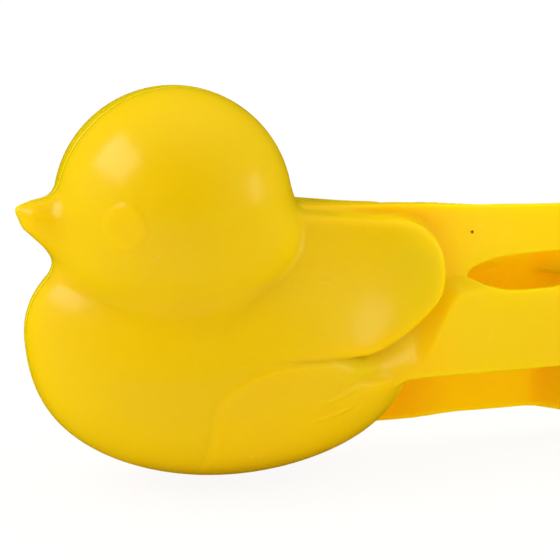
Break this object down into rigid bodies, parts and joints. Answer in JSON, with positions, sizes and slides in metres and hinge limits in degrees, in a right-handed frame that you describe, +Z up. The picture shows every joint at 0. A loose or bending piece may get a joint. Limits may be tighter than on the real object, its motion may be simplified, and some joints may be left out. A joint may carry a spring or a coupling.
{
  "type": "duck snow mould tongs",
  "caption": "Hand tongs that shape snow into a duck: two hollow half moulds on crossing arms, hinged on one upright pin.",
  "frame": {"origin": "bottom centre of the shut tongs' box: on the parting plane, half way from beak to handle ends, level with the duck's lowest point", "axes": "+X from the beak to the handle ends, +Y from the near half to the far half across the parting plane, +Z up through the duck's head along the hinge pin"},
  "size_m": [0.37, 0.0738, 0.0994],
  "materials": {
    "duck_plastic": "glossy moulded polypropylene",
    "arm_plastic": "glossy moulded polypropylene",
    "pin_plastic": "glossy moulded polypropylene"
  },
  "bodies": {
    "near_half": {"near_mould_half": "duck_plastic", "near_arm": "arm_plastic", "hinge_pin": "pin_plastic", "pin_cap": "pin_plastic"},
    "far_half": {"far_mould_half": "duck_plastic", "far_arm": "arm_plastic"}
  },
  "joints": [
    {"name": "tongs_hinge", "type": "hinge", "parent": "near_half", "child": "far_half", "pos_m": [-0.029, 0, 0.036], "axis": [0, 0, -1], "range_deg": [0, 40]}
  ]
}
